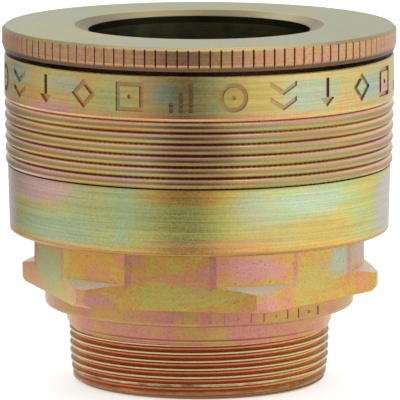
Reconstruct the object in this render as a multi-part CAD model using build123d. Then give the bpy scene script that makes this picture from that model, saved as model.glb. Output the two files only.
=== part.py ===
from build123d import *
from math import atan, ceil, cos, pi, radians, sin, sqrt, tan
import os

# Socket half of a ball-lock quick-connect coupling, 2 1/2 inch, with a male taper pipe thread.
# Millimetres. The origin is the centre of the thread's end face, and +Z runs up to the mouth.

# ---- Driving dimensions: socket, balls and sliding sleeve ----
socket_bore_r = 31.8        # bore that guides the mating plug
ball_r = 5.0
ball_count = 12
ball_reach = 2.2            # how far a locked ball stands into the bore
ball_withdrawal = 0.1       # how far behind the bore wall a released ball stops
ball_gap = 0.05             # running clearance round a ball
ball_proud = 0.7            # how far a locked ball stands out of the barrel's outside
sleeve_travel = 8.0
slide_gap = 0.06            # sleeve land on barrel
seat_gap = 0.05             # sleeve cam on nose ring hub, and valve seal on its seat
land_length = 5.9
cam_tail = 1.2              # cam beyond the released ball's contact
cam_top_land = 1.9
skirt_gap = 0.4             # sleeve skirt round the neck
skirt_wall = 6.6
skirt_taper = 0.45          # how much smaller the skirt is at its lower edge
band_wall = 7.95
band_height = 12.8          # marked band, above the ribs
edge_round = 0.8
rib_count = 6
rib_pitch = 3.17
rib_height = 1.05
rib_inset = 0.35            # how far the lowest rib's crest lies inside the top one's
band_edge_chamfer = 0.35
lip_drop = 0.9              # band's and skirt's edges next to the ribs slope over this much
lip_run = 0.5
lip_start = 0.1
mark_height = 8.2
mark_stroke = 1.25
mark_depth = 0.6
bar_step = 2.2              # bars apart, in strokes
arrow_head = 2.6            # arrow's head, half its width and its height
chevron_rise = 2.5
chevron_stroke = 1.44       # measured straight up
mark_sets = 4
mark_turn = -5.2            # degrees
mark_top_margin = 1.9

# ---- Knurled nose ring ----
ring_gap = 1.25             # between sleeve and ring with the sleeve forward
ring_height = 6.7
ring_overhang = 0.6
ring_under_chamfer = (0.6, 1.8)
ring_top_chamfer = 0.9
ring_floor = 3.3            # ring metal over the barrel's end
hub_gap = 1.3               # between the balls and the hub
mouth_flare = 4.0
mouth_depth = 1.4
relief_groove = (0.6, 1.2)  # depth and height of the groove over the balls, in the bore
relief_groove_gap = 0.4     # between the balls and that groove
knurl_count = 116
knurl_depth = 0.38
knurl_width = 0.6

# ---- Hexagon adapter and pipe thread ----
thread_gauge_r = 75.184 / 2     # R 2 1/2, at the gauge plane
thread_gauge_z = 17.5
thread_pitch = 25.4 / 11
thread_depth = 1.479
thread_taper = 1 / 32           # radius per unit of length
thread_flank = 27.5             # degrees
thread_top_z = 16.9
thread_full_z = 15.2            # groove at full depth up to here, then it runs out
thread_root_flat = 0.4
thread_clear = 0.3              # cutter beyond the crest
thread_turn = 13.0              # degrees
lead_height = 7.0
lead_inset = 0.75               # how much the lead-in lowers the first crest
end_chamfer = (1.3, 0.9)
relief_step = 0.6
relief_height = 5.2
collar_step = 6.3
collar_height = 4.9
collar_round = 1.0
hex_height = 7.0
hex_inset = 1.85                # flats inside the neck's radius
hex_turn = 49.8                 # degrees from +X to a corner
hex_corner_trim = 0.9
hex_ledge_drop = 1.8
hex_under_chamfer = 1.0
flat_run_up = 2.8               # flats carried on behind the skirt's lower edge
neck_wall = 8.6
neck_overlap = 7.3              # neck inside the skirt with the sleeve forward
skirt_clearance = 1.8           # skirt to hexagon with the sleeve fully back
cup_depth = 14.0                # barrel in adapter
thread_wall = 4.5               # least metal between the outlet bore and the thread's root
chamber_wall = 4.9              # barrel wall round the valve
chamber_floor = 4.0             # metal between the chamber and the relief
stamp_height = 2.6
stamp_depth = 0.25
stamp_count = 12
stamp_step = 5.0                # degrees
stamp_turn = -96.0              # degrees from +X to the first stroke

# ---- Valve ----
seal_to_floor = 5.3             # socket seal's groove above the socket's floor
seat_ledge = 9.0                # how far the valve seat stands in from the chamber's wall
seat_lip = 4.0
seat_cone = 4.0
head_thickness = 4.0
head_lap = 2.5                  # valve head beyond the seat's radius
head_chamfer = 1.5
spigot_r = 8.0
seal_thickness = 3.0
seal_offset = 0.2               # seal's lower face above the seat cone's lower edge
retainer_inset = 0.7            # retainer inside the seat's radius
retainer_rim = 1.8
retainer_chamfer = 0.6
retainer_dish = (3.0, 1.4)      # slope between the rim and the nose
nose_r = 14.0
nose_height = 6.6
nose_chamfer = 1.2
stem_r = 5.0
stem_chamfer = 1.0
stem_root = 2.0                 # flare where the stem meets the head
stem_inset = 0.5                # stem's tip above the guide's lower face
stem_gap = 0.05
guide_shoulder = 3.0            # ledge that carries the guide
guide_height = 4.0
guide_rim = 3.4
guide_gap = 0.1
guide_arms = 4
guide_arm_width = 5.0
guide_arm_lap = 1.0             # arm sunk into the hub and the rim
guide_arm_turn = 45.0           # degrees
guide_hub_r = 9.0
guide_hub_rise = 4.0
guide_hub_chamfer = 1.0
guide_flange_r = 14.0
snap_thickness = 1.5
snap_groove = 1.5
snap_gap = 0.1
snap_width = 2.8
snap_opening = 22.0             # degrees
snap_eye_r = 1.2
snap_eye_turn = 4.0             # degrees from the opening's edge
snap_eye_inset = 0.4
screw_r = 4.0
screw_length = 16.0
screw_hole_spare = 1.0          # tapped hole below the screw's end
screw_head_r = 6.5
screw_head_height = 4.6
screw_head_chamfer = 0.5
screw_socket = 6.0              # across flats
screw_socket_depth = 3.0
screw_gap = 0.1

# ---- Springs and seals ----
washer_thickness = 1.6
washer_gap = 0.2
sleeve_spring_length = 23.1
sleeve_spring_wire_r = 1.4
sleeve_spring_turns = 4
valve_spring_wire_r = 1.1
valve_spring_r = 11.2
valve_spring_turns = 4
socket_seal_width = 3.7
socket_seal_depth = 3.2
socket_seal_proud = 0.25
socket_seal_corner = 1.4
backup_width = 1.8
backup_corner = 0.3
groove_play = 0.1
socket_seal_below_balls = 5.1
body_seal_width = 3.4
body_seal_depth = 2.6
body_seal_corner = 1.1
body_seal_above_foot = 5.0

# ---- Derived sizes: radii ----
cam_slope = (ball_reach + ball_withdrawal) / sleeve_travel
cam_angle = atan(cam_slope)
ball_lock_r = socket_bore_r - ball_reach + ball_r
barrel_r = ball_lock_r + ball_r - ball_proud
land_r = barrel_r + slide_gap
contact_r = ball_lock_r + (ball_r + ball_gap) * cos(cam_angle)
neck_r = barrel_r + neck_wall
skirt_bore_r = neck_r + skirt_gap
skirt_top_r = skirt_bore_r + skirt_wall + skirt_taper
skirt_low_r = skirt_bore_r + skirt_wall
band_r = skirt_bore_r + band_wall
ring_r = band_r + ring_overhang
hex_flat_r = neck_r - hex_inset
hex_corner_r = hex_flat_r / cos(pi / 6) - hex_corner_trim
chamber_r = barrel_r - chamber_wall
thread_root_r = thread_gauge_r - thread_gauge_z * thread_taper - thread_depth
outlet_bore_r = min(thread_root_r - thread_wall, chamber_r - guide_shoulder)
seat_r = chamber_r - seat_ledge
head_r = seat_r + head_lap
retainer_r = seat_r - retainer_inset

# ---- Derived sizes: heights ----
relief_top = thread_top_z + relief_height
collar_top = relief_top + collar_height
hex_top = collar_top + hex_height
sleeve_foot = hex_top + sleeve_travel + skirt_clearance
neck_top = sleeve_foot + neck_overlap
cup_floor = neck_top - cup_depth
spring_foot = neck_top + washer_thickness
spring_roof = spring_foot + sleeve_spring_length
cam_foot = spring_roof + land_length
contact_z = cam_foot + (contact_r - land_r) / cam_slope
ball_z = contact_z + (ball_r + ball_gap) * sin(cam_angle)
cam_top = contact_z + sleeve_travel + cam_tail
sleeve_top = cam_top + cam_top_land
ring_foot = sleeve_top + ring_gap
ring_top = ring_foot + ring_height
barrel_top = ring_top - ring_floor
hub_foot = ball_z + ball_r + hub_gap
rib_top = sleeve_top - band_height
seal_groove_top = ball_z - ball_r - socket_seal_below_balls
seal_groove_foot = seal_groove_top - socket_seal_width - backup_width - groove_play
socket_floor = seal_groove_foot - seal_to_floor
seat_top = socket_floor - seat_lip
seat_foot = seat_top - seat_cone
seal_foot = seat_foot + seal_offset
seal_top = seal_foot + seal_thickness
head_foot = seal_foot - head_thickness
guide_z = relief_top + chamber_floor
guide_top = guide_z + guide_height
guide_hub_top = guide_top + guide_hub_rise
stem_tip_z = guide_z + stem_inset


def turned(points):
    """Solid of revolution about Z from (radius, height) corners."""
    outline = Polyline(*points, close=True)
    return revolve(Plane.XZ * make_face(outline), Axis.Z)


def rod(radius, z_low, z_high):
    """Solid cylinder on the Z axis."""
    return Pos(0, 0, z_low) * extrude(Circle(radius), z_high - z_low)


def rounded_ring(r_inner, r_outer, z_low, z_high, corner):
    """Ring whose section is a rectangle with rounded corners, as a squeezed seal has."""
    width = r_outer - r_inner
    height = z_high - z_low
    section = RectangleRounded(width, height, corner)
    middle = Pos((r_inner + r_outer) / 2, (z_low + z_high) / 2)
    return revolve(Plane.XZ * middle * section, Axis.Z)


def cam_r(z):
    """Radius of the sleeve's ball cam at a height, with the sleeve forward."""
    return land_r + (z - cam_foot) * cam_slope


def crest_r(z):
    """Radius of the pipe thread's full crest at a height."""
    return thread_gauge_r - (thread_gauge_z - z) * thread_taper


def coil(radius, wire_r, turns, z_low, z_high):
    """Compression spring that fills the height from z_low to z_high."""
    rise = z_high - z_low - 2 * wire_r
    path = Pos(0, 0, z_low + wire_r) * Helix(rise / turns, rise, radius)
    section = Plane(origin=path @ 0, z_dir=path % 0) * Circle(wire_r)
    return sweep(section, path=path, is_frenet=True)


# ---- Hexagon adapter ----
def thread_groove(z_start, turns, run_out=0):
    """One stretch of the thread's helical groove. run_out lifts it out of the metal by its end."""
    rise = thread_pitch * turns
    cone_angle = atan(thread_taper + run_out / rise) * 180 / pi
    root_r = crest_r(z_start) - thread_depth
    path = Helix(thread_pitch, rise, root_r, cone_angle=cone_angle)
    height = thread_depth + thread_clear
    half_root = thread_root_flat / 2
    half_mouth = half_root + height * tan(radians(thread_flank))
    notch = Polyline(
        (0, -half_root),
        (height, -half_mouth),
        (height, half_mouth),
        (0, half_root),
        close=True,
    )
    start = Plane(origin=path @ 0, x_dir=(1, 0, 0), z_dir=path % 0)
    groove = sweep(start * make_face(notch), path=path, is_frenet=True)
    return Pos(0, 0, z_start) * Rot(0, 0, thread_turn) * groove


def cut_thread(body):
    """Cuts the thread turn by turn, with half a turn of run-out under the relief."""
    turns = ceil((thread_full_z + thread_pitch) / thread_pitch)
    for index in range(turns):
        z_start = thread_full_z - (index + 1) * thread_pitch
        body = body - thread_groove(z_start, 1)
    return body - thread_groove(thread_full_z, 0.5, thread_depth + thread_clear / 2)


def hex_corners():
    """What is milled off round the hexagon, up into the neck."""
    low = collar_top
    high = sleeve_foot + flat_run_up
    blank = rod(hex_corner_r + 5, low, high)
    corner = hex_flat_r / cos(pi / 6)
    bar = Pos(0, 0, low) * extrude(RegularPolygon(corner, 6, rotation=hex_turn), high - low)
    return blank - bar


def stamp_marks(radius, z_middle):
    """Row of small plain strokes and dots stamped into the collar."""
    marks = []
    spot = Plane.YZ.offset(radius - stamp_depth) * Pos(0, z_middle)
    for index in range(stamp_count):
        turn = stamp_turn + index * stamp_step
        dot = Circle(stamp_height / 6)
        stroke = Rectangle(stamp_height / 5, stamp_height)
        shape = dot if index % 3 == 1 else stroke
        marks.append(Rot(0, 0, turn) * extrude(spot * shape, 1))
    return marks


def make_hex_adapter():
    relief_r = crest_r(thread_top_z) + relief_step
    collar_r = relief_r + collar_step
    first_crest = crest_r(end_chamfer[1]) - lead_inset
    body = turned(
        [
            (outlet_bore_r, 0),
            (first_crest - end_chamfer[0], 0),
            (first_crest, end_chamfer[1]),
            (crest_r(lead_height), lead_height),
            (crest_r(thread_top_z), thread_top_z),
            (relief_r, thread_top_z + relief_step),
            (relief_r, relief_top),
            (collar_r, relief_top),
            (collar_r, collar_top),
            (hex_corner_r - hex_under_chamfer, collar_top),
            (hex_corner_r, collar_top + hex_under_chamfer),
            (hex_corner_r, hex_top - hex_ledge_drop),
            (neck_r, hex_top),
            (neck_r, neck_top - edge_round),
            (neck_r - edge_round, neck_top),
            (barrel_r, neck_top),
            (barrel_r, cup_floor),
            (chamber_r, cup_floor),
            (chamber_r, guide_z),
            (outlet_bore_r, guide_z),
        ]
    )
    rim = [e for e in body.edges().filter_by(GeomType.CIRCLE) if abs(e.radius - collar_r) < 0.01]
    lower_rim = sorted(rim, key=lambda e: e.center().Z)[0]
    body = fillet(lower_rim, collar_round)
    snap_slot_top = guide_top + snap_thickness + snap_gap
    snap_slot = rod(chamber_r + snap_groove, guide_top, snap_slot_top)
    body = body - hex_corners() - (snap_slot - rod(chamber_r - 1, guide_top, snap_slot_top))
    body = body - stamp_marks(collar_r, (relief_top + collar_top) / 2)
    return cut_thread(body)


# ---- Socket barrel and nose ring ----
def ball_places():
    """Angle of every locking ball."""
    return [index * 360 / ball_count for index in range(ball_count)]


def make_socket_barrel():
    body = turned(
        [
            (chamber_r, cup_floor),
            (barrel_r, cup_floor),
            (barrel_r, barrel_top),
            (socket_bore_r, barrel_top),
            (socket_bore_r, socket_floor),
            (seat_r, socket_floor),
            (seat_r, seat_top),
            (seat_r + seat_cone, seat_foot),
            (chamber_r, seat_foot),
        ]
    )
    seal_r = socket_bore_r + socket_seal_depth
    seal_slot = rod(seal_r, seal_groove_foot, seal_groove_top)
    body_seal_foot = cup_floor + body_seal_above_foot
    body_seal_top = body_seal_foot + body_seal_width + groove_play
    outside = rod(barrel_r + 1, body_seal_foot, body_seal_top)
    body_slot = outside - rod(barrel_r - body_seal_depth, body_seal_foot, body_seal_top)
    groove_depth, groove_height = relief_groove
    groove_foot = ball_z + ball_r + relief_groove_gap
    bore_groove = rod(socket_bore_r + groove_depth, groove_foot, groove_foot + groove_height)
    body = body - seal_slot - body_slot - bore_groove
    for turn in ball_places():
        pocket = Pos(ball_lock_r, 0, ball_z) * Sphere(ball_r + ball_gap)
        bore = Plane.YZ.offset(ball_lock_r) * Pos(0, ball_z) * Circle(ball_r + ball_gap)
        body = body - Rot(0, 0, turn) * (pocket + extrude(bore, ball_r + ball_proud))
    return body


def make_locking_ball(turn):
    return Rot(0, 0, turn) * Pos(ball_lock_r, 0, ball_z) * Sphere(ball_r)


def make_nose_ring():
    gap = seat_gap / cos(cam_angle)
    hub_r = cam_r(cam_top) - gap
    under_inset, under_height = ring_under_chamfer
    body = turned(
        [
            (barrel_r, hub_foot),
            (cam_r(hub_foot) - gap, hub_foot),
            (hub_r, cam_top),
            (hub_r, ring_foot),
            (ring_r - under_inset, ring_foot),
            (ring_r, ring_foot + under_height),
            (ring_r, ring_top - ring_top_chamfer),
            (ring_r - ring_top_chamfer, ring_top),
            (socket_bore_r + mouth_flare, ring_top),
            (socket_bore_r, ring_top - mouth_depth),
            (socket_bore_r, barrel_top),
            (barrel_r, barrel_top),
        ]
    )
    notch = Polyline(
        (ring_r - knurl_depth, 0),
        (ring_r + knurl_depth, knurl_width),
        (ring_r + knurl_depth, -knurl_width),
        close=True,
    )
    cutter = Pos(0, 0, ring_foot - 1) * extrude(make_face(notch), ring_height + 2)
    grooves = [Rot(0, 0, index * 360 / knurl_count) * cutter for index in range(knurl_count)]
    return body - grooves


# ---- Sliding grip sleeve ----
def arrow_mark():
    """Arrow that points the way the sleeve is pulled."""
    half = mark_height / 2
    neck = arrow_head - half
    shaft = Pos(0, arrow_head / 2) * Rectangle(mark_stroke, mark_height - arrow_head)
    tip = Polyline((-arrow_head, neck), (arrow_head, neck), (0, -half), close=True)
    return shaft + make_face(tip)


def target_mark():
    """Ring round a dot."""
    half = mark_height / 2
    return Circle(half) - Circle(half - mark_stroke) + Circle(mark_stroke / 2)


def bars_mark():
    """Three upright bars of rising height."""
    bars = Sketch()
    for index in range(3):
        height = mark_height * (index + 1) / 3
        place = Pos((index - 1) * bar_step * mark_stroke, (height - mark_height) / 2)
        bars += place * Rectangle(mark_stroke, height)
    return bars


def diamond_mark():
    """Open diamond."""
    outer = Rectangle(mark_height / sqrt(2), mark_height / sqrt(2))
    side = mark_height / sqrt(2) - 2 * mark_stroke
    return Rot(0, 0, 45) * (outer - Rectangle(side, side))


def chevron_mark():
    """Two chevrons, one over the other."""
    half = mark_height / 2
    dip = half - chevron_rise
    chevron = make_face(
        Polyline(
            (-half, half),
            (0, dip),
            (half, half),
            (half, half - chevron_stroke),
            (0, dip - chevron_stroke),
            (-half, half - chevron_stroke),
            close=True,
        )
    )
    return chevron + Pos(0, chevron_rise + chevron_stroke - mark_height) * chevron


def square_mark():
    """Open square with a dot."""
    side = mark_height - 2 * mark_stroke
    frame = Rectangle(mark_height, mark_height) - Rectangle(side, side)
    return frame + Circle(mark_stroke / 2)


def band_marks():
    """Plain signs cut into the band, evenly spaced all round."""
    signs = [bars_mark(), target_mark(), chevron_mark(), arrow_mark(), diamond_mark(), square_mark()]
    z_middle = sleeve_top - mark_top_margin - mark_height / 2
    count = mark_sets * len(signs)
    spot = Plane.YZ.offset(band_r - mark_depth) * Pos(0, z_middle)
    marks = []
    for index in range(count):
        sign = extrude(spot * signs[index % len(signs)], 2 * mark_depth)
        marks.append(Rot(0, 0, mark_turn + index * 360 / count) * sign)
    return marks


def rib_arcs():
    """Outline of the rounded grip ribs, from the band down to the skirt."""
    arcs = []
    top_r = band_r - rib_height
    slope = rib_inset / rib_count
    for index in range(rib_count):
        z_high = rib_top - index * rib_pitch
        start = (top_r - index * slope, z_high)
        end = (top_r - (index + 1) * slope, z_high - rib_pitch)
        crest = ((start[0] + end[0]) / 2 + rib_height, z_high - rib_pitch / 2)
        arcs.append(ThreePointArc(start, crest, end))
    return arcs


def make_grip_sleeve():
    arcs = rib_arcs()
    groove_top = arcs[0] @ 0
    groove_foot = arcs[-1] @ 1
    corner_start = (skirt_low_r, sleeve_foot + edge_round)
    corner_end = (skirt_low_r - edge_round, sleeve_foot)
    upper = Polyline(
        (groove_foot.X, groove_foot.Y),
        (skirt_top_r - lip_start, groove_foot.Y - lip_start),
        (skirt_top_r, groove_foot.Y - lip_run),
        corner_start,
    )
    corner = RadiusArc(corner_start, corner_end, edge_round)
    inside = Polyline(
        corner_end,
        (skirt_bore_r + band_edge_chamfer, sleeve_foot),
        (skirt_bore_r, sleeve_foot + band_edge_chamfer),
        (skirt_bore_r, spring_roof),
        (land_r, spring_roof),
        (land_r, cam_foot),
        (cam_r(cam_top), cam_top),
        (cam_r(cam_top), sleeve_top),
        (band_r - band_edge_chamfer, sleeve_top),
        (band_r, sleeve_top - band_edge_chamfer),
        (band_r, groove_top.Y + lip_drop),
        (groove_top.X + lip_run, groove_top.Y + lip_start),
        (groove_top.X, groove_top.Y),
    )
    outline = [*arcs, *upper.edges(), corner, *inside.edges()]
    body = revolve(Plane.XZ * make_face(outline), Axis.Z)
    return body - band_marks()


# ---- Springs and seals ----
def make_sleeve_spring():
    radius = (barrel_r + skirt_bore_r) / 2
    return coil(radius, sleeve_spring_wire_r, sleeve_spring_turns, spring_foot, spring_roof)


def make_spring_seat_washer():
    outer = rod(neck_r - washer_gap, neck_top, spring_foot)
    return outer - rod(barrel_r + washer_gap, neck_top, spring_foot)


def make_socket_seal():
    r_outer = socket_bore_r + socket_seal_depth
    foot = seal_groove_foot
    top = foot + socket_seal_width
    return rounded_ring(socket_bore_r - socket_seal_proud, r_outer, foot, top, socket_seal_corner)


def make_backup_ring():
    r_outer = socket_bore_r + socket_seal_depth
    foot = seal_groove_top - backup_width
    return rounded_ring(socket_bore_r, r_outer, foot, seal_groove_top, backup_corner)


def make_body_seal():
    foot = cup_floor + body_seal_above_foot + groove_play / 2
    top = foot + body_seal_width
    return rounded_ring(barrel_r - body_seal_depth, barrel_r, foot, top, body_seal_corner)


# ---- Valve ----
def make_valve_poppet():
    body = turned(
        [
            (0, stem_tip_z),
            (stem_r - stem_chamfer, stem_tip_z),
            (stem_r, stem_tip_z + stem_chamfer),
            (stem_r, head_foot - stem_root),
            (stem_r + stem_root, head_foot),
            (head_r - head_chamfer, head_foot),
            (head_r, head_foot + head_chamfer),
            (head_r, seal_foot),
            (spigot_r, seal_foot),
            (spigot_r, seal_top),
            (0, seal_top),
        ]
    )
    hole_foot = seal_top + retainer_rim - screw_length - screw_hole_spare
    return body - rod(screw_r, hole_foot, seal_top)


def make_valve_seal():
    gap = seat_gap * sqrt(2)
    low_r = seat_r + seat_top - seal_foot - gap
    high_r = seat_r + seat_top - seal_top - gap
    section = [(spigot_r, seal_foot), (low_r, seal_foot), (high_r, seal_top), (spigot_r, seal_top)]
    return turned(section)


def make_seal_retainer():
    nose_top = seal_top + nose_height
    rim_top = seal_top + retainer_rim
    dish_run, dish_rise = retainer_dish
    body = turned(
        [
            (0, seal_top),
            (retainer_r, seal_top),
            (retainer_r, rim_top - retainer_chamfer),
            (retainer_r - retainer_chamfer, rim_top),
            (nose_r + dish_run, rim_top + dish_rise),
            (nose_r, nose_top - nose_chamfer),
            (nose_r - nose_chamfer, nose_top),
            (0, nose_top),
        ]
    )
    pocket = rod(screw_head_r + screw_gap, rim_top, nose_top)
    return body - pocket - rod(screw_r + screw_gap, seal_top, rim_top)


def make_retainer_screw():
    seat = seal_top + retainer_rim
    top = seat + screw_head_height
    head = rod(screw_head_r, seat, top)
    head = chamfer(head.faces().sort_by(Axis.Z)[-1].edges(), screw_head_chamfer)
    shank = rod(screw_r, seat - screw_length, seat)
    socket = extrude(RegularPolygon(screw_socket / 2, 6, major_radius=False), screw_socket_depth)
    return head + shank - Pos(0, 0, top - screw_socket_depth) * socket


def make_valve_spring():
    return coil(valve_spring_r, valve_spring_wire_r, valve_spring_turns, guide_top, head_foot)


def make_valve_guide():
    rim_r = chamber_r - guide_gap
    rim = rod(rim_r, guide_z, guide_top) - rod(rim_r - guide_rim, guide_z, guide_top)
    hub = turned(
        [
            (stem_r + stem_gap, guide_z),
            (guide_flange_r - guide_hub_chamfer, guide_z),
            (guide_flange_r, guide_z + guide_hub_chamfer),
            (guide_flange_r, guide_top),
            (guide_hub_r, guide_top),
            (guide_hub_r, guide_hub_top - guide_hub_chamfer),
            (guide_hub_r - guide_hub_chamfer, guide_hub_top),
            (stem_r + stem_gap, guide_hub_top),
        ]
    )
    body = rim + hub
    window = rim_r - guide_rim - guide_flange_r
    middle = guide_flange_r + window / 2
    section = Rectangle(window + 2 * guide_arm_lap, guide_arm_width)
    arm = Pos(middle, 0, guide_z) * extrude(section, guide_height)
    for index in range(guide_arms):
        body = body + Rot(0, 0, guide_arm_turn + index * 360 / guide_arms) * arm
    return body


def make_guide_snap_ring():
    low = guide_top
    high = guide_top + snap_thickness
    outer_r = chamber_r + snap_groove - snap_gap
    band = rod(outer_r, low, high) - rod(outer_r - snap_width, low, high)
    reach = outer_r + 1
    slot = Polyline(
        (0, 0),
        (reach, -reach * tan(radians(snap_opening / 2))),
        (reach, reach * tan(radians(snap_opening / 2))),
        close=True,
    )
    ring = band - Pos(0, 0, low) * extrude(make_face(slot), high - low)
    for side in (-1, 1):
        turn = side * (snap_opening / 2 + snap_eye_turn)
        place = Rot(0, 0, turn) * Pos(outer_r - snap_width - snap_eye_inset, 0, low)
        eye = place * extrude(Circle(2 * snap_eye_r), high - low)
        ring = ring + eye - place * extrude(Circle(snap_eye_r), high - low)
    return ring


def make_nodes():
    nodes = {
        "hex_adapter": make_hex_adapter(),
        "socket_barrel": make_socket_barrel(),
        "nose_ring": make_nose_ring(),
        "grip_sleeve": make_grip_sleeve(),
        "sleeve_spring": make_sleeve_spring(),
        "spring_seat_washer": make_spring_seat_washer(),
        "socket_seal": make_socket_seal(),
        "backup_ring": make_backup_ring(),
        "body_seal": make_body_seal(),
        "valve_poppet": make_valve_poppet(),
        "valve_seal": make_valve_seal(),
        "seal_retainer": make_seal_retainer(),
        "retainer_screw": make_retainer_screw(),
        "valve_spring": make_valve_spring(),
        "valve_guide": make_valve_guide(),
        "guide_snap_ring": make_guide_snap_ring(),
    }
    for number, turn in enumerate(ball_places(), start=1):
        nodes[f"locking_ball_{number:02d}"] = make_locking_ball(turn)
    return nodes


os.makedirs("parts", exist_ok=True)
for name, solid in make_nodes().items():
    export_step(solid, f"parts/{name}.step")
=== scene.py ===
from math import cos, pi, radians, sin

import bpy
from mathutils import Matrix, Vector


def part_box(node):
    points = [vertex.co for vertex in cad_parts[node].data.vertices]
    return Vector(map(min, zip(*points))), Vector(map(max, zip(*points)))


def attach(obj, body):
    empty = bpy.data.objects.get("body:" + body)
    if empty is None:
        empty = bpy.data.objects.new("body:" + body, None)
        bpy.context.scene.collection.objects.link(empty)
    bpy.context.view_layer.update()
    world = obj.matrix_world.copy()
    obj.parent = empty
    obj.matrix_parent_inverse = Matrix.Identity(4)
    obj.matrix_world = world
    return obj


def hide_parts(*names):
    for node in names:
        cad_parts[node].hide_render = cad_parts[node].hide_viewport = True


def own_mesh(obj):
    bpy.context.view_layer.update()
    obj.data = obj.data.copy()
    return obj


# Looks for the ball-lock coupler. The frame is in metres; material patterns work in millimetres.

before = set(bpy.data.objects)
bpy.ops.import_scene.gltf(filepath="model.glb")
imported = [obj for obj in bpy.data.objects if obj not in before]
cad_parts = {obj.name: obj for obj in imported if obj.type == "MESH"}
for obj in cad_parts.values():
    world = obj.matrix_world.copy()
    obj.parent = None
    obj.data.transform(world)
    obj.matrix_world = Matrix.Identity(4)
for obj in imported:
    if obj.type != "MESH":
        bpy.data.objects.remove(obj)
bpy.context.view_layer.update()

MM = 0.001

# Heights and radii that the nodes' boxes don't give, in millimetres
BAND_HEIGHT = 12.8              # marked band, down from the sleeve's top
RIBS_HEIGHT = 19.02             # all six ribs, down from the band
SLEEVE_WALL = 5.5               # anything deeper is the sleeve's inside
FACE_WIDTH = 20.6               # nose ring's flat face, in from its outer edge
THREAD_TOP = 16.9
COLLAR_TOP = 27.0
HEX_TOP = 34.0
NECK_R = 47.5
ADAPTER_INSIDE_R = 34.3
GAUGE_R = 37.592                # thread's crest radius at the gauge height
GAUGE_HEIGHT = 17.5
TAPER = 1 / 32                  # of the radius, per millimetre of height


def linear(red, green, blue):
    """Linear colour from 0-255 sRGB values."""
    channels = [c / 255 for c in (red, green, blue)]
    return tuple(c / 12.92 if c < 0.04045 else ((c + 0.055) / 1.055) ** 2.4 for c in channels)


def top_of(node):
    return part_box(node)[1][2] / MM


def foot_of(node):
    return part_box(node)[0][2] / MM


def radius_of(node):
    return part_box(node)[1][0] / MM


class Tree:
    """Short names for building a node tree."""

    def __init__(self, tree):
        self.tree = tree

    def add(self, kind, **settings):
        node = self.tree.nodes.new(kind)
        for name, value in settings.items():
            setattr(node, name, value)
        return node

    def feed(self, socket, value):
        if isinstance(value, bpy.types.NodeSocket):
            self.tree.links.new(value, socket)
        elif socket.type == "RGBA" and len(value) == 3:
            socket.default_value = (*value, 1)
        else:
            socket.default_value = value

    def math(self, operation, first, second=0.0, third=0.0):
        node = self.add("ShaderNodeMath", operation=operation)
        for socket, value in zip(node.inputs, (first, second, third)):
            self.feed(socket, value)
        return node.outputs[0]

    def product(self, first, *others):
        for other in others:
            first = self.math("MULTIPLY", first, other)
        return first

    def vector(self, x, y, z):
        node = self.add("ShaderNodeCombineXYZ")
        for socket, value in zip(node.inputs, (x, y, z)):
            self.feed(socket, value)
        return node.outputs[0]

    def noise(self, place, scale=1.0, detail=3.0, roughness=0.5, warp=0.0):
        node = self.add("ShaderNodeTexNoise")
        self.feed(node.inputs["Vector"], place)
        node.inputs["Scale"].default_value = scale
        node.inputs["Detail"].default_value = detail
        node.inputs["Roughness"].default_value = roughness
        node.inputs["Distortion"].default_value = warp
        return node.outputs["Fac"]

    def smooth(self, value, low, high, out_low=0.0, out_high=1.0):
        """Smooth step from out_low at low to out_high at high."""
        node = self.add("ShaderNodeMapRange", interpolation_type="SMOOTHSTEP")
        for socket, number in zip(node.inputs, (value, low, high, out_low, out_high)):
            self.feed(socket, number)
        return node.outputs[0]

    def fade(self, value, low, high):
        """Smooth step from 1 at low to 0 at high."""
        return self.smooth(value, low, high, 1.0, 0.0)

    def mix(self, share, first, second, blend="MIX"):
        node = self.add("ShaderNodeMix", data_type="RGBA", blend_type=blend)
        self.feed(node.inputs["Factor"], share)
        self.feed(node.inputs[6], first)
        self.feed(node.inputs[7], second)
        return node.outputs[2]

    def over(self, colour, tint, share, *masks):
        """Lays a tint over a colour where all the masks are, by a share."""
        return self.mix(self.product(*masks, share), colour, tint)

    def scaled(self, colour, level):
        """Colour times a brightness."""
        return self.mix(1.0, colour, self.vector(level, level, level), "MULTIPLY")

    def ramp(self, value, stops):
        node = self.add("ShaderNodeValToRGB")
        self.feed(node.inputs[0], value)
        elements = node.color_ramp.elements
        while len(elements) < len(stops):
            elements.new(0.5)
        for element, (position, colour) in zip(elements, stops):
            element.position = position
            element.color = (*colour, 1)
        return node.outputs[0]


def new_material(name):
    """A material with a Principled shader, its tree helper and the shader."""
    material = bpy.data.materials.new(name)
    material.use_nodes = True
    return material, Tree(material.node_tree), material.node_tree.nodes["Principled BSDF"]


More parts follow.
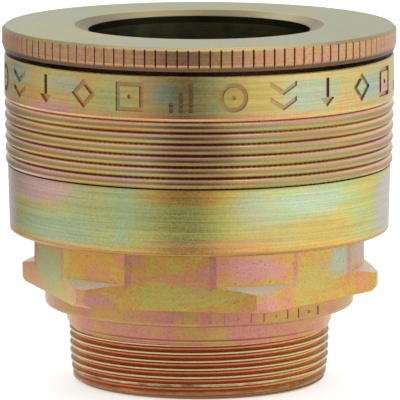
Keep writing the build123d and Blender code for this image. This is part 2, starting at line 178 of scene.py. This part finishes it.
class Place:
    """Where a point lies on a turned part, in millimetres and degrees from the front."""

    def __init__(self, tree):
        self.tree = tree
        coordinates = tree.add("ShaderNodeTexCoord")
        parts = tree.add("ShaderNodeSeparateXYZ")
        tree.feed(parts.inputs[0], coordinates.outputs["Object"])
        self.x, self.y, self.z = (tree.math("MULTIPLY", s, 1 / MM) for s in parts.outputs)
        square = tree.math("MULTIPLY", self.x, self.x)
        square = tree.math("MULTIPLY_ADD", self.y, self.y, square)
        self.r = tree.math("SQRT", square)
        back = tree.math("MULTIPLY", self.y, -1.0)
        self.turn = tree.math("DEGREES", tree.math("ARCTAN2", self.x, back))
        self.along = tree.math("SUBTRACT", self.z, self.r)
        normal = tree.add("ShaderNodeSeparateXYZ")
        tree.feed(normal.inputs[0], coordinates.outputs["Normal"])
        self.normal_up = normal.outputs[2]

    def solid(self, scale):
        """Even three-way coordinates, for blotches and grain."""
        tree = self.tree
        return tree.vector(*(tree.math("MULTIPLY", s, scale) for s in (self.x, self.y, self.z)))

    def turned(self, round_scale, across_scale):
        """Coordinates drawn out round the axis, for the lines a lathe tool leaves."""
        tree = self.tree
        x = tree.math("MULTIPLY", self.x, round_scale)
        y = tree.math("MULTIPLY", self.y, round_scale)
        return tree.vector(x, y, tree.math("MULTIPLY", self.along, across_scale))

    def patch(self, turn, height, half_turn, half_height, raggedness=0.35):
        """Soft mask round a place on the outside of the part."""
        tree = self.tree
        across = tree.math("SUBTRACT", self.turn, turn)
        across = tree.math("DIVIDE", across, half_turn)
        upward = tree.math("SUBTRACT", self.z, height)
        upward = tree.math("DIVIDE", upward, half_height)
        distance = tree.math("MULTIPLY", across, across)
        distance = tree.math("MULTIPLY_ADD", upward, upward, distance)
        distance = tree.math("SQRT", distance)
        ragged = tree.noise(self.solid(0.16), detail=4, warp=0.6)
        ragged = tree.math("SUBTRACT", ragged, 0.5)
        distance = tree.math("MULTIPLY_ADD", ragged, 2 * raggedness, distance)
        return tree.fade(distance, 0.35, 1.1)


# ---- Yellow zinc plate: the colour runs through interference tints ----
LILAC = linear(188, 172, 186)
BLUE_GREEN = linear(160, 186, 172)
GREEN = linear(172, 184, 126)
YELLOW_GREEN = linear(190, 180, 98)
YELLOW = linear(204, 176, 86)
GOLD = linear(212, 158, 80)
SALMON = linear(214, 146, 112)
PINK = linear(210, 148, 148)
FILM = (
    (0.00, PINK),
    (0.16, LILAC),
    (0.28, BLUE_GREEN),
    (0.42, GREEN),
    (0.54, YELLOW_GREEN),
    (0.66, YELLOW),
    (0.78, GOLD),
    (0.90, SALMON),
    (1.00, PINK),
)

LINE_DARK = 0.3                 # how far turning lines darken and lighten the colour
LINE_LIGHT = 0.14
GRAIN_SHADE = 0.55
LINE_GLOSS = 0.22               # how far lines and grain change the roughness
GRAIN_GLOSS = 0.2
GRAIN_RELIEF = 0.4              # grain's height in the relief, where a line's is 1
PLATE_RELIEF = 0.025            # millimetres
BUMP_STRENGTH = 0.3


def film_colour(tree, place, middle, spread, size):
    """Film tint that drifts over the surface, in millimetres of size. middle is a place in FILM."""
    shares = (
        (tree.noise(place.solid(1 / size), detail=2, roughness=0.55, warp=1.2), 2.4),
        (tree.noise(place.solid(3.7 / size), detail=4, roughness=0.6), 0.9),
        (tree.noise(place.turned(0.02, 0.55), detail=3, roughness=0.6), 0.8),
        (tree.noise(place.turned(0.05, 3.1), detail=2, roughness=0.6), 0.7),
        (tree.noise(place.solid(1.1), detail=3, roughness=0.75), 1.8),
    )
    drift = middle
    for field, share in shares:
        field = tree.math("SUBTRACT", field, 0.5)
        drift = tree.math("MULTIPLY_ADD", field, share * spread, drift)
    return tree.ramp(drift, FILM)


def lay_patches(tree, place, colour, patches, base=0.0, raggedness=0.35):
    """Soft patches over a colour: turn, height over base, half turn, half height, tint, share."""
    for turn, height, half_turn, half_height, tint, share in patches:
        mask = place.patch(turn, base + height, half_turn, half_height, raggedness)
        colour = tree.over(colour, tint, share, mask)
    return colour


def add_relief(tree, shader, height, depth):
    """Fine bumps; depth is in millimetres."""
    bump = tree.add("ShaderNodeBump")
    bump.inputs["Strength"].default_value = BUMP_STRENGTH
    bump.inputs["Distance"].default_value = depth * MM
    tree.feed(bump.inputs["Height"], height)
    tree.feed(shader.inputs["Normal"], bump.outputs[0])


def plate_finish(tree, place, shader, colour, roughness=0.28, lines_share=1.0, grain_share=1.0):
    """Turning lines, grain and uneven gloss over a plated colour."""
    coarse = tree.noise(place.turned(0.03, 2.1), detail=4, roughness=0.65)
    fine = tree.noise(place.turned(0.04, 9.0), detail=3, roughness=0.6)
    grain = tree.noise(place.solid(1.5), detail=4, roughness=0.8)
    lines = tree.math("MULTIPLY_ADD", fine, 0.8, coarse)
    darkest = 1.0 - LINE_DARK * lines_share
    lightest = 1.0 + LINE_LIGHT * lines_share
    shade = tree.smooth(lines, 0.55, 1.15, darkest, lightest)
    speckle = tree.math("SUBTRACT", grain, 0.5)
    shade = tree.math("MULTIPLY_ADD", speckle, GRAIN_SHADE * grain_share, shade)
    tree.feed(shader.inputs["Base Color"], tree.scaled(colour, shade))
    gloss = tree.math("SUBTRACT", coarse, 0.5)
    gloss = tree.math("MULTIPLY_ADD", gloss, LINE_GLOSS, roughness)
    gloss = tree.math("MULTIPLY_ADD", speckle, GRAIN_GLOSS, gloss)
    tree.feed(shader.inputs["Roughness"], gloss)
    shader.inputs["Metallic"].default_value = 1.0
    height = tree.math("MULTIPLY", lines, lines_share)
    height = tree.math("MULTIPLY_ADD", grain, GRAIN_RELIEF * grain_share, height)
    add_relief(tree, shader, height, PLATE_RELIEF)


# ---- Grip sleeve ----
PALE_BAND = linear(204, 198, 186)
RIB_BROWN = linear(152, 108, 66)
RIB_OLIVE = linear(144, 126, 82)
# Rose and cream are painted highlight for the rib faces that point upward.
RIB_ROSE_HIGHLIGHT = linear(246, 188, 188)
RIB_CREAM_HIGHLIGHT = linear(250, 206, 158)
# Painted shade for the grooves between the ribs.
RIB_GROOVE_SHADE = linear(96, 58, 30)
RIB_DUSK = linear(116, 70, 50)
# Painted shade for the floors of the engraved signs.
SIGN_FLOOR_SHADE = linear(158, 108, 84)
SLEEVE_INSIDE = linear(120, 112, 76)
# Painted shade for the bevel at the sleeve's foot.
SLEEVE_RIM_SHADE = linear(142, 98, 66)
CHATTER_WAVE = 3.8              # radians of the tool's chatter for a degree of turn
CHATTER_DEPTH = 0.3
SKIRT_PATCHES = (               # heights are over the sleeve's foot
    (-57, 17, 24, 7, linear(200, 156, 164), 0.8),
    (-50, 5, 28, 7, linear(156, 176, 146), 0.8),
    (-28, 12, 20, 10, linear(164, 174, 128), 0.7),
    (-3, 17, 17, 3.5, GOLD, 0.8),
    (4, 3, 30, 2.6, SALMON, 0.7),
    (17, 12, 11, 8, BLUE_GREEN, 0.5),
    (36, 14, 14, 6, BLUE_GREEN, 0.6),
    (34, 5, 26, 6, linear(180, 156, 96), 0.75),
    (76, 9, 14, 12, LILAC, 0.7),
    (-79, 10, 10, 13, LILAC, 0.8),
    (2, 8, 20, 6, YELLOW_GREEN, 0.5),
    (150, 12, 30, 9, PINK, 0.6),
    (-140, 6, 28, 8, BLUE_GREEN, 0.7),
)
BAND_PATCHES = (                # heights are from the sleeve's top
    (-80, -6, 7, 9, linear(150, 122, 78), 0.8),
    (-66, -3.5, 8, 3, BLUE_GREEN, 0.7),
    (-58, -8, 10, 4, GOLD, 0.7),
    (-48, -11, 14, 3, PINK, 0.7),
    (-43, -4, 9, 3.5, BLUE_GREEN, 0.5),
    (-26, -7, 7, 5, GREEN, 0.6),
    (-10, -5, 6, 4, BLUE_GREEN, 0.6),
    (16, -6, 14, 6, YELLOW, 0.6),
    (34, -6, 13, 6, BLUE_GREEN, 0.6),
    (60, -6, 9, 5, BLUE_GREEN, 0.8),
    (70, -8, 6, 3, PINK, 0.7),
    (0, -11.8, 50, 1.4, SALMON, 0.7),
    (120, -7, 20, 6, SALMON, 0.6),
    (-110, -6, 24, 6, GOLD, 0.6),
)


def rib_colour(tree, place, colour, rib_foot, rib_top, radius):
    """The sleeve's colour with a painted highlight on the rib tops, and painted shade in the
    grooves, whose edges are chattered.
    """
    in_ribs = tree.smooth(place.z, rib_foot - 0.4, rib_foot + 0.2)
    in_ribs = tree.product(in_ribs, tree.fade(place.z, rib_top - 0.3, rib_top + 0.5))
    # Painted highlight: rib faces that point upward take the pale rose-cream tint.
    upward = tree.smooth(place.normal_up, 0.05, 0.75)
    streak = tree.smooth(tree.noise(place.turned(0.03, 0.5), detail=3), 0.38, 0.62)
    flat_tint = tree.mix(streak, RIB_BROWN, RIB_OLIVE)
    top_highlight = tree.mix(streak, RIB_ROSE_HIGHLIGHT, RIB_CREAM_HIGHLIGHT)
    share = tree.math("MULTIPLY_ADD", upward, 0.2, 0.72)
    colour = tree.over(colour, tree.mix(upward, flat_tint, top_highlight), share, in_ribs)

    chatter = tree.math("SINE", tree.math("MULTIPLY", place.turn, CHATTER_WAVE))
    chatter = tree.product(tree.smooth(chatter, -0.3, 0.9), streak)
    edge = tree.math("MULTIPLY_ADD", chatter, CHATTER_DEPTH, place.r)
    # Painted shade: the grooves between ribs are darkened, most on faces that point downward.
    groove_shade = tree.fade(edge, radius - 1.15, radius - 0.5)
    shaded_underside = tree.smooth(place.normal_up, -0.1, 0.3, 1.0, 0.2)
    colour = tree.over(colour, RIB_GROOVE_SHADE, 0.9, groove_shade, in_ribs, shaded_underside)
    dusky = place.patch(-1, (rib_top + rib_foot) / 2, 15, 16)
    return tree.over(colour, RIB_DUSK, 0.5, dusky, in_ribs)


def sleeve_material():
    material, tree, shader = new_material("plated_sleeve")
    place = Place(tree)
    top = top_of("grip_sleeve")
    foot = foot_of("grip_sleeve")
    radius = radius_of("grip_sleeve")
    rib_top = top - BAND_HEIGHT
    rib_foot = rib_top - RIBS_HEIGHT

    colour = film_colour(tree, place, middle=0.52, spread=0.24, size=30)
    band = film_colour(tree, place, middle=0.64, spread=0.30, size=14)
    band = tree.mix(0.18, band, PALE_BAND)
    on_band = tree.smooth(place.z, rib_top + 0.1, rib_top + 0.6)
    colour = tree.over(colour, band, 0.8, on_band)
    colour = lay_patches(tree, place, colour, SKIRT_PATCHES, base=foot)
    colour = lay_patches(tree, place, colour, BAND_PATCHES, base=top)
    colour = rib_colour(tree, place, colour, rib_foot, rib_top, radius)

    # Painted shade on the floors of the engraved signs.
    engraved = tree.fade(place.r, radius - 0.5, radius - 0.12)
    over_ribs = tree.smooth(place.z, rib_top + 0.4, rib_top + 0.9)
    colour = tree.over(colour, SIGN_FLOOR_SHADE, 0.55, engraved, over_ribs)
    inside = tree.fade(place.r, radius - SLEEVE_WALL - 1, radius - SLEEVE_WALL)
    colour = tree.over(colour, SLEEVE_INSIDE, 0.6, inside)
    low = tree.smooth(place.z, foot + 1.2, foot + 3.2, 0.5, 0.0)
    colour = tree.mix(low, colour, GOLD)
    # Painted shade on the bevel at the sleeve's foot.
    rim_shade = tree.fade(place.z, foot + 0.6, foot + 1.3)
    colour = tree.over(colour, SLEEVE_RIM_SHADE, 0.8, rim_shade)
    lift = tree.smooth(place.z, rib_foot - 0.8, rib_foot - 0.2, 1.2, 1.05)
    plate_finish(tree, place, shader, tree.scaled(colour, lift), lines_share=0.8)
    return material


# ---- Nose ring ----
RING_SIDE = linear(190, 150, 134)
RING_FACE = linear(146, 138, 106)
RING_FLARE = linear(98, 80, 36)
# Painted shade for the ring's faces that point downward.
RING_UNDERSIDE_SHADE = linear(104, 80, 62)
# Painted shade for the bore inside the ring.
RING_INSIDE_SHADE = linear(60, 58, 40)
# Painted shade for the knurl's grooves.
KNURL_GROOVE_SHADE = linear(76, 58, 42)
KNURL_SPECK = linear(120, 104, 78)


def ring_material():
    material, tree, shader = new_material("plated_nose_ring")
    place = Place(tree)
    top = top_of("nose_ring")
    radius = radius_of("nose_ring")
    flare_r = radius - FACE_WIDTH

    side = film_colour(tree, place, middle=0.80, spread=0.24, size=12)
    side = tree.mix(0.5, side, RING_SIDE)
    face = film_colour(tree, place, middle=0.44, spread=0.26, size=26)
    face = tree.mix(0.4, RING_FACE, face)
    upward = tree.smooth(place.normal_up, 0.45, 0.85)
    colour = tree.mix(upward, side, face)
    flare = tree.fade(place.r, flare_r - 0.3, flare_r)
    colour = tree.over(colour, RING_FLARE, 0.85, flare)
    # Painted shade on faces that point downward.
    down_shade = tree.fade(place.normal_up, -0.5, -0.2)
    colour = tree.over(colour, RING_UNDERSIDE_SHADE, 0.55, down_shade)

    # Painted shade in the knurl's grooves, on faces that don't point upward.
    groove_shade = tree.fade(place.r, radius - 0.34, radius - 0.06)
    on_knurl = tree.smooth(place.r, radius - 1.2, radius - 0.9)
    level = tree.fade(place.normal_up, 0.2, 0.35)
    colour = tree.over(colour, KNURL_GROOVE_SHADE, 0.85, groove_shade, on_knurl, level)
    speck = tree.noise(place.solid(0.9), detail=4, roughness=0.8)
    speck = tree.smooth(speck, 0.5, 0.66)
    colour = tree.over(colour, KNURL_SPECK, 0.45, speck, on_knurl, level)

    # Painted shade: the bore under the face is made dark.
    under_face = tree.fade(place.z, top - 1.5, top - 1.1)
    inner = tree.fade(place.r, radius - 16, radius - 14)
    colour = tree.over(colour, RING_INSIDE_SHADE, 1.0, under_face, inner)
    plate_finish(tree, place, shader, colour, roughness=0.34, lines_share=0.6, grain_share=1.5)
    return material


# ---- Adapter: neck, hexagon, collar and pipe thread ----
STRIP_PINK = linear(196, 124, 130)
COLLAR_ROSE = linear(186, 116, 114)
COLLAR_GOLD = linear(184, 142, 88)
# Painted highlight for the thread's crests.
CREST_HIGHLIGHT = linear(206, 196, 146)
FLANK_RED = linear(203, 124, 88)
FLANK_GOLD = linear(218, 166, 106)
FLANK_LIT = linear(238, 172, 136)
# Painted shade for the tooth sides between crest and flank.
TOOTH_SIDE_SHADE = linear(120, 98, 58)
THREAD_END = linear(132, 108, 64)
ADAPTER_INSIDE = linear(112, 104, 66)
PIT = linear(112, 78, 52)
# Painted highlight for the ledge facets under the hexagon.
LEDGE_HIGHLIGHT = linear(254, 246, 218)
ADAPTER_CAST = (0.9, 0.91, 0.92)
ADAPTER_PATCHES = (
    (20, 39, 13, 5, PINK, 0.8),
    (31, 42, 6, 3, GOLD, 0.7),
    (-42, 40, 11, 4, GOLD, 0.8),
    (-36, 36, 8, 3, SALMON, 0.6),
    (-6, 36, 22, 2.5, SALMON, 0.6),
    (-10, 31, 20, 4, YELLOW_GREEN, 0.7),
    (-36, 29, 9, 3, PINK, 0.7),
    (22, 29, 5, 4, PINK, 0.7),
    (46, 34, 16, 6, YELLOW_GREEN, 0.7),
    (60, 38, 10, 6, BLUE_GREEN, 0.7),
    (74, 40, 6, 5, LILAC, 0.8),
    (-70, 34, 16, 8, GREEN, 0.7),
    (150, 34, 24, 6, PINK, 0.6),
    (-130, 32, 24, 6, YELLOW_GREEN, 0.6),
)


def thread_colour(tree, place):
    """Pale crests with a painted highlight, painted shade along the tooth sides, and red or gilded
    flanks made brighter where they face up.
    """
    crest_r = tree.math("MULTIPLY_ADD", place.z, TAPER, GAUGE_R - GAUGE_HEIGHT * TAPER)
    depth = tree.math("SUBTRACT", crest_r, place.r)
    ragged = tree.noise(place.turned(0.12, 0.9), detail=3, roughness=0.7)
    depth = tree.math("MULTIPLY_ADD", tree.math("SUBTRACT", ragged, 0.5), 0.7, depth)
    gilded = tree.math("MAXIMUM", place.patch(62, 8, 44, 16), place.patch(-84, 8, 22, 20))
    flank = tree.mix(gilded, FLANK_RED, FLANK_GOLD)
    facing_up = tree.smooth(place.normal_up, 0.2, 0.6)
    flank = tree.over(flank, FLANK_LIT, 0.75, facing_up)
    # Painted shade on the tooth sides between crest and flank.
    side = tree.mix(tree.smooth(depth, 0.55, 0.8), TOOTH_SIDE_SHADE, flank)
    # Painted highlight on the crests.
    tooth = tree.mix(tree.smooth(depth, 0.3, 0.5), CREST_HIGHLIGHT, side)
    end = tree.smooth(place.z, 0.8, 1.5, 0.8, 0.0)
    return tree.mix(end, tooth, THREAD_END)


def adapter_material():
    material, tree, shader = new_material("plated_adapter")
    place = Place(tree)
    colour = film_colour(tree, place, middle=0.74, spread=0.34, size=13)
    colour = lay_patches(tree, place, colour, ADAPTER_PATCHES, raggedness=0.6)

    outward = tree.smooth(place.r, NECK_R - 0.6, NECK_R - 0.45)
    short_of_neck = tree.fade(place.r, NECK_R - 0.04, NECK_R - 0.01)
    high = tree.smooth(place.z, HEX_TOP - 2, HEX_TOP)
    worn = tree.smooth(tree.noise(place.solid(0.5), detail=4), 0.3, 0.6, 0.1, 0.75)
    colour = tree.over(colour, STRIP_PINK, worn, outward, short_of_neck, high)

    collar = tree.fade(place.z, COLLAR_TOP - 0.3, COLLAR_TOP + 0.1)
    blush = tree.smooth(tree.noise(place.solid(0.09), detail=3), 0.4, 0.58)
    colour = tree.over(colour, tree.mix(blush, COLLAR_ROSE, COLLAR_GOLD), 0.8, collar)
    thread = tree.fade(place.z, THREAD_TOP - 1.5, THREAD_TOP - 0.9)
    colour = tree.over(colour, thread_colour(tree, place), 0.92, thread)
    inside = tree.fade(place.r, ADAPTER_INSIDE_R, ADAPTER_INSIDE_R + 0.5)
    colour = tree.over(colour, ADAPTER_INSIDE, 0.7, inside)
    pits = tree.noise(place.solid(1.5), detail=2, roughness=0.6)
    pits = tree.smooth(pits, 0.61, 0.67)
    over_thread = tree.smooth(place.z, THREAD_TOP + 3, THREAD_TOP + 5)
    colour = tree.over(colour, PIT, 0.6, pits, over_thread)
    colour = tree.mix(1.0, colour, ADAPTER_CAST, "MULTIPLY")

    # Painted highlight: the ledge facets get a near-white, non-metallic colour in place of a bright
    # reflection.
    ledge_highlight = tree.product(
        tree.smooth(place.normal_up, 0.3, 0.5),
        tree.smooth(place.z, HEX_TOP - 3.5, HEX_TOP - 3),
        tree.fade(place.z, HEX_TOP + 0.2, HEX_TOP + 0.5),
        tree.smooth(place.r, NECK_R - 3, NECK_R - 2),
    )
    colour = tree.mix(ledge_highlight, colour, LEDGE_HIGHLIGHT)
    plate_finish(tree, place, shader, colour, roughness=0.36, lines_share=0.25, grain_share=2.1)
    tree.feed(shader.inputs["Metallic"], tree.math("SUBTRACT", 1.0, ledge_highlight))
    return material


# ---- Plain metals, rubber and plastic ----
RUBBER_RELIEF = 0.03            # millimetres


def turned_steel(name, colour, roughness, tint=None):
    """Turned steel with tool lines; tint is a second colour that drifts over it."""
    material, tree, shader = new_material(name)
    place = Place(tree)
    cloud = tree.noise(place.solid(0.12), detail=3, warp=0.8)
    mixed = tree.mix(tree.smooth(cloud, 0.35, 0.7), colour, tint or colour)
    plate_finish(tree, place, shader, mixed, roughness)
    return material


def rubber_material():
    material, tree, shader = new_material("seal_rubber")
    speck = tree.noise(Place(tree).solid(3.0), detail=4, roughness=0.7)
    colour = tree.mix(tree.smooth(speck, 0.4, 0.75), linear(24, 24, 25), linear(44, 43, 42))
    tree.feed(shader.inputs["Base Color"], colour)
    tree.feed(shader.inputs["Roughness"], tree.smooth(speck, 0.3, 0.8, 0.5, 0.72))
    add_relief(tree, shader, speck, RUBBER_RELIEF)
    return material


def plastic_material():
    material, tree, shader = new_material("backup_plastic")
    cloud = tree.noise(Place(tree).solid(0.8), detail=4)
    colour = tree.mix(cloud, linear(222, 220, 210), linear(196, 192, 178))
    tree.feed(shader.inputs["Base Color"], colour)
    tree.feed(shader.inputs["Roughness"], tree.smooth(cloud, 0.3, 0.7, 0.38, 0.55))
    return material


def ball_material():
    material, tree, shader = new_material("polished_ball")
    scuff = tree.noise(Place(tree).solid(1.6), detail=5, roughness=0.7)
    colour = tree.mix(tree.smooth(scuff, 0.4, 0.8), linear(206, 206, 208), linear(170, 168, 162))
    tree.feed(shader.inputs["Base Color"], colour)
    tree.feed(shader.inputs["Roughness"], tree.smooth(scuff, 0.35, 0.8, 0.08, 0.24))
    shader.inputs["Metallic"].default_value = 1.0
    return material


def dress(material, *names):
    """Gives CAD nodes one material over every face."""
    for name in names:
        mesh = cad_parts[name].data
        mesh.materials.clear()
        mesh.materials.append(material)


def new_object(name, data):
    """An object that stands in the scene."""
    item = bpy.data.objects.new(name, data)
    bpy.context.collection.objects.link(item)
    return item


def add_coil(node):
    """A dressed spring in place of its CAD solid, attached to the coupler's body."""
    coil = new_object(f"{node}_coil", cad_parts[node].data.copy())
    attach(coil, "coupler_body")
    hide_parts(node)
    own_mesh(coil)


def dress_nodes():
    dress(sleeve_material(), "grip_sleeve")
    dress(ring_material(), "nose_ring")
    dress(adapter_material(), "hex_adapter")
    barrel = turned_steel("barrel_steel", linear(104, 100, 66), 0.36, linear(84, 88, 66))
    dress(barrel, "socket_barrel", "spring_seat_washer")
    bright = turned_steel("valve_steel", linear(168, 166, 158), 0.3, linear(146, 142, 130))
    dress(bright, "valve_poppet", "seal_retainer", "valve_guide")
    dress(turned_steel("black_screw", linear(52, 52, 54), 0.38), "retainer_screw")
    wire = turned_steel("spring_wire", linear(150, 150, 150), 0.28, linear(120, 118, 112))
    dress(wire, "sleeve_spring", "valve_spring", "guide_snap_ring")
    add_coil("sleeve_spring")
    add_coil("valve_spring")
    dress(rubber_material(), "socket_seal", "body_seal", "valve_seal")
    dress(plastic_material(), "backup_ring")
    balls = [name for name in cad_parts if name.startswith("locking_ball_")]
    dress(ball_material(), *balls)


# ---- Studio, in metres. The camera is fitted to the outline in the photo. ----
AXIS_SHIFT = 0.23 * MM          # camera stands this far to the right of the coupler's axis
CAMERA_DISTANCE = 1.4451
CAMERA_HEIGHT = 0.2753
AIM_HEIGHT = 0.0515
VIEW_WIDTH = 0.11508            # what the frame spans at the aim point
SENSOR = 36.0
CLIP_END = 50

FLOOR_R = 0.2
FLOOR_STEP = 4                  # degrees between the floor's corners
FLOOR_DROP = 0.2 * MM           # clear of the thread's end face
FLOOR_GLOW = 0.52

WORLD_STRENGTH = 1.3
UPWARD_LEVEL = 0.56
WALLS = (                       # share of a turn from the back, by the left; brightness
    (0.00, 0.60),
    (0.05, 0.50),
    (0.10, 0.26),
    (0.16, 0.44),
    (0.22, 0.56),
    (0.30, 0.52),
    (0.39, 0.52),
    (0.43, 0.34),
    (0.46, 0.08),
    (0.50, 0.12),
    (0.54, 0.50),
    (0.60, 0.76),
    (0.66, 0.92),
    (0.77, 0.88),
    (0.90, 0.66),
    (1.00, 0.60),
)

SOFT_BOX_AIM = (0, 0, 0.06)
SOFT_BOXES = (                  # name, place, width, height, watts
    ("top_box", (0.1, 0.2, 1.5), 1.6, 1.2, 6),
    ("back_box", (0.18, 0.86, 0.96), 0.3, 0.3, 0.9),
    ("left_back_box", (-0.29, 0.95, 0.86), 0.2, 0.2, 1.6),
)


def point_at(item, target):
    """Turns a camera or a light to a target, and gives the distance."""
    sight = Vector(target) - item.location
    item.rotation_euler = sight.to_track_quat("-Z", "Y").to_euler()
    return sight.length


def add_camera():
    data = bpy.data.cameras.new("camera")
    camera = new_object("camera", data)
    camera.location = (AXIS_SHIFT, -CAMERA_DISTANCE, CAMERA_HEIGHT)
    distance = point_at(camera, (AXIS_SHIFT, 0, AIM_HEIGHT))
    data.sensor_width = SENSOR
    data.lens = SENSOR * distance / VIEW_WIDTH
    data.clip_end = CLIP_END
    bpy.context.scene.camera = camera


def add_floor():
    mesh = bpy.data.meshes.new("floor")
    turns = [radians(angle) for angle in range(0, 360, FLOOR_STEP)]
    corners = [(FLOOR_R * cos(turn), FLOOR_R * sin(turn), 0) for turn in turns]
    mesh.from_pydata(corners, [], [range(len(corners))])
    floor = new_object("floor", mesh)
    floor.location.z = -FLOOR_DROP
    material, tree, shader = new_material("studio_floor")
    cloud = tree.noise(tree.add("ShaderNodeTexCoord").outputs["Object"], scale=3.0)
    tree.feed(shader.inputs["Base Color"], tree.mix(cloud, (0.86, 0.86, 0.86), (0.9, 0.9, 0.9)))
    shader.inputs["Roughness"].default_value = 0.9
    shader.inputs["Emission Color"].default_value = (1, 1, 1, 1)
    shader.inputs["Emission Strength"].default_value = FLOOR_GLOW
    mesh.materials.append(material)


def add_world():
    """Walls brightest on the right and dark just left of the camera, and a white backdrop."""
    world = bpy.data.worlds.new("studio")
    bpy.context.scene.world = world
    world.use_nodes = True
    tree = Tree(world.node_tree)
    background = world.node_tree.nodes["Background"]
    direction = tree.add("ShaderNodeSeparateXYZ")
    tree.feed(direction.inputs[0], tree.add("ShaderNodeTexCoord").outputs["Generated"])
    x, y, z = direction.outputs
    turn = tree.math("ARCTAN2", x, tree.math("MULTIPLY", y, -1.0))
    turn = tree.math("MULTIPLY_ADD", turn, 0.5 / pi, 0.5)
    level = tree.ramp(turn, [(at, (bright,) * 3) for at, bright in WALLS])
    level = tree.mix(tree.smooth(z, 0.2, 0.7), level, (UPWARD_LEVEL,) * 3)
    backdrop = tree.add("ShaderNodeLightPath").outputs["Is Camera Ray"]
    tree.feed(background.inputs["Color"], tree.mix(backdrop, level, (1, 1, 1)))
    background.inputs["Strength"].default_value = WORLD_STRENGTH


def add_soft_box(name, place, width, height, watts):
    data = bpy.data.lights.new(name, "AREA")
    data.shape = "RECTANGLE"
    data.size = width
    data.size_y = height
    data.energy = watts
    light = new_object(name, data)
    light.location = place
    point_at(light, SOFT_BOX_AIM)


def set_up_studio():
    add_camera()
    add_floor()
    add_world()
    for box in SOFT_BOXES:
        add_soft_box(*box)
    scene = bpy.context.scene
    scene.view_settings.view_transform = "Standard"
    scene.view_settings.look = "None"


set_up_studio()
dress_nodes()
